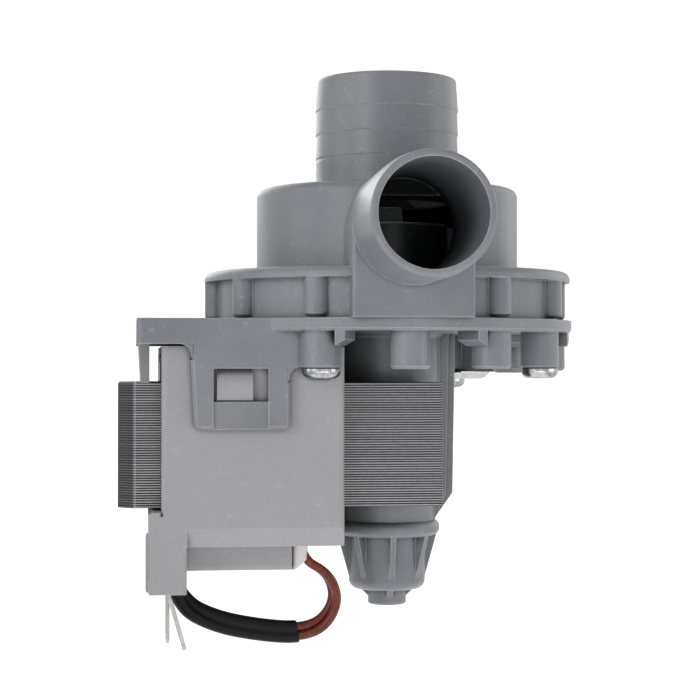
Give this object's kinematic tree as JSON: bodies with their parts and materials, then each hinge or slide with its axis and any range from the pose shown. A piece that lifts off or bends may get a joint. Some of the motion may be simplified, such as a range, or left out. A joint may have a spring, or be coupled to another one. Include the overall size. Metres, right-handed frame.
{
  "type": "drain pump",
  "caption": "Synchronous drain pump: laminated stator with covered coils, rotor can on a flanged bracket, and a moulded pump head with an axial inlet and a side outlet.",
  "frame": {"origin": "on the pump axis, in the plane of the ends of the two mounting bosses under the bracket plate", "axes": "+Z along the pump axis, out of the inlet; the outlet points to -Y and the coils lie towards -X"},
  "size_m": [0.0959, 0.1031, 0.1178],
  "materials": {
    "head_plastic": "mid-grey moulded plastic, faint gloss",
    "bracket_plastic": "mid-grey moulded plastic, faint gloss",
    "cover_plastic": "light grey moulded plastic",
    "bobbin_plastic": "natural nylon",
    "core_steel": "stamped laminations",
    "winding_copper": "enamelled copper wire",
    "screw_steel": "zinc plated",
    "strap_steel": "zinc plated",
    "terminal_tin": "tinned",
    "seal_rubber": "moulded",
    "wire_rubber": "brown silicone rubber",
    "sleeve_rubber": "black sleeve",
    "tube_fabric": "white glass-fibre tube",
    "cutout_plastic": "black",
    "magnet": "ground ferrite",
    "shaft_steel": "ground",
    "rotor_plastic": "black",
    "bush_bronze": "sintered",
    "carrier_plastic": "dark grey",
    "impeller_plastic": "dark grey"
  },
  "bodies": {
    "housing": {"volute_cover": "head_plastic", "cover_seal": "seal_rubber", "motor_bracket": "bracket_plastic", "cover_screws": "screw_steel", "fixing_strap": "strap_steel", "stator_core": "core_steel", "coil_bobbin_front": "bobbin_plastic", "coil_bobbin_rear": "bobbin_plastic", "coil_winding_front": "winding_copper", "coil_winding_rear": "winding_copper", "coil_cover": "cover_plastic", "terminal_straight": "terminal_tin", "terminal_bent": "terminal_tin", "thermal_cutout": "cutout_plastic", "insulating_tube": "tube_fabric", "lead_wire_a": "wire_rubber", "lead_wire_b": "wire_rubber", "lead_sleeve": "sleeve_rubber", "upper_bearing": "bush_bronze", "lower_bearing": "bush_bronze", "upper_bearing_seat": "seal_rubber", "lower_bearing_seat": "seal_rubber", "bearing_carrier": "carrier_plastic", "carrier_ring": "seal_rubber", "thrust_washer_upper": "carrier_plastic", "thrust_washer_lower": "carrier_plastic"},
    "rotor": {"rotor_shaft": "shaft_steel", "rotor_magnet": "magnet", "rotor_overmould": "rotor_plastic", "coupling_dog": "carrier_plastic", "coupling_pads": "seal_rubber"},
    "impeller_wheel": {"impeller": "impeller_plastic", "coupling_cap": "impeller_plastic"}
  },
  "joints": [
    {"name": "rotor_spin", "type": "hinge", "parent": "housing", "child": "rotor", "pos_m": [0, 0, 0], "axis": [0, 0, 1], "continuous": true},
    {"name": "impeller_free_play", "type": "hinge", "parent": "rotor", "child": "impeller_wheel", "pos_m": [0, 0, 0], "axis": [0, 0, 1], "range_deg": [-106, 106]}
  ]
}
